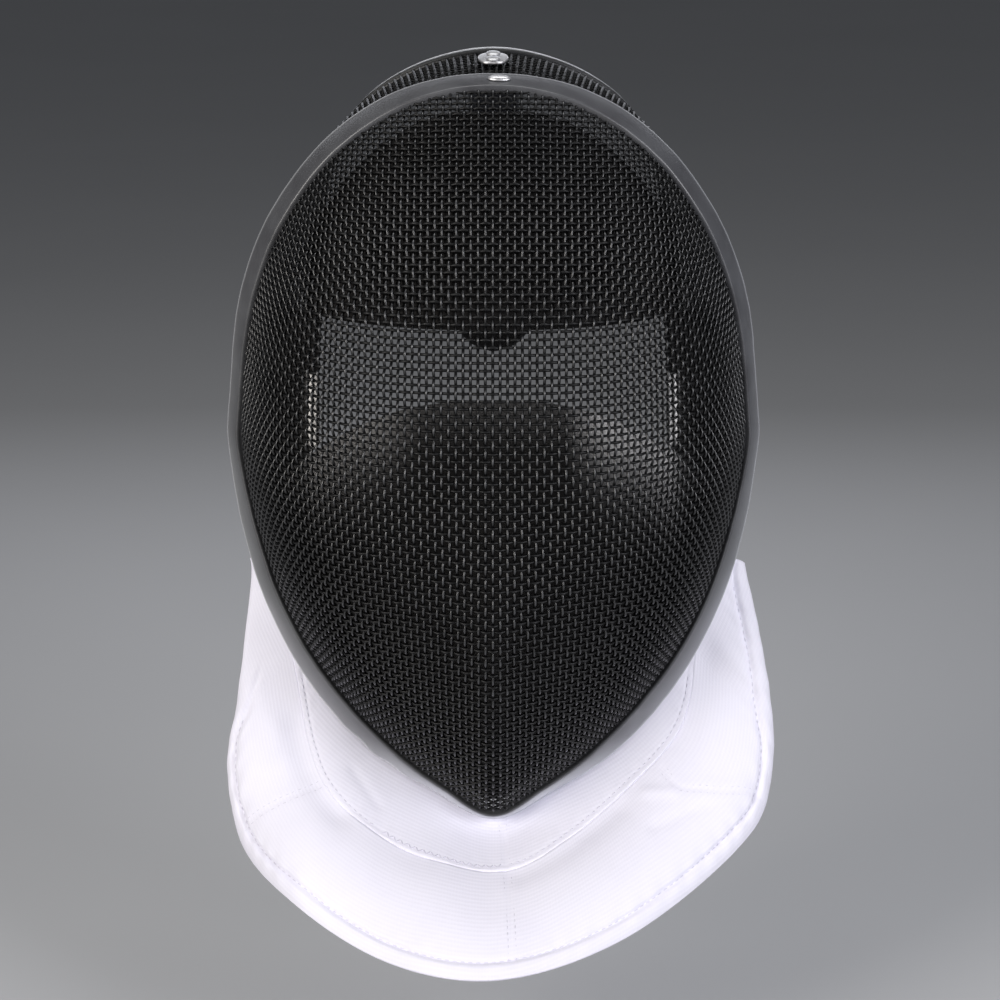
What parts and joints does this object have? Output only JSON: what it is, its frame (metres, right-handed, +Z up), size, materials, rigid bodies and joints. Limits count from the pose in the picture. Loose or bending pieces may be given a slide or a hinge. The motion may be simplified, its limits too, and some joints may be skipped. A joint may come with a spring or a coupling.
{
  "type": "fencing mask",
  "caption": "Fencing mask with a woven wire face dome, a rubber trim, a padded white bib, an inner lining and a sprung tongue that grips the back of the head.",
  "frame": {"origin": "where the crown of the wearer's head meets the inside of the mask, under the top of the side mesh", "axes": "+Z up along the wearer's head, -Y the way the face looks, +X to the wearer's left"},
  "size_m": [0.2328, 0.2063, 0.366],
  "materials": {
    "coated_wire": "satin black coated steel wire, woven",
    "grey_rubber": "satin moulded rubber",
    "silver_piping": "satin woven piping",
    "white_cloth": "matte heavy woven cloth",
    "dark_cloth": "matte padded cloth",
    "plated_steel": "plated"
  },
  "bodies": {
    "root": {"front_mesh": "coated_wire", "side_mesh": "coated_wire", "front_trim": "grey_rubber", "rear_trim": "silver_piping", "bib_yoke": "white_cloth", "bib_skirt": "white_cloth", "chin_lining": "white_cloth", "forehead_pad": "dark_cloth", "side_pad_left": "dark_cloth", "side_pad_right": "dark_cloth", "tongue_spring": "plated_steel", "tongue_pad": "dark_cloth", "tongue_bracket": "plated_steel", "bracket_rivet_front": "plated_steel", "bracket_rivet_rear": "plated_steel", "trim_rivet": "plated_steel"}
  },
  "joints": []
}
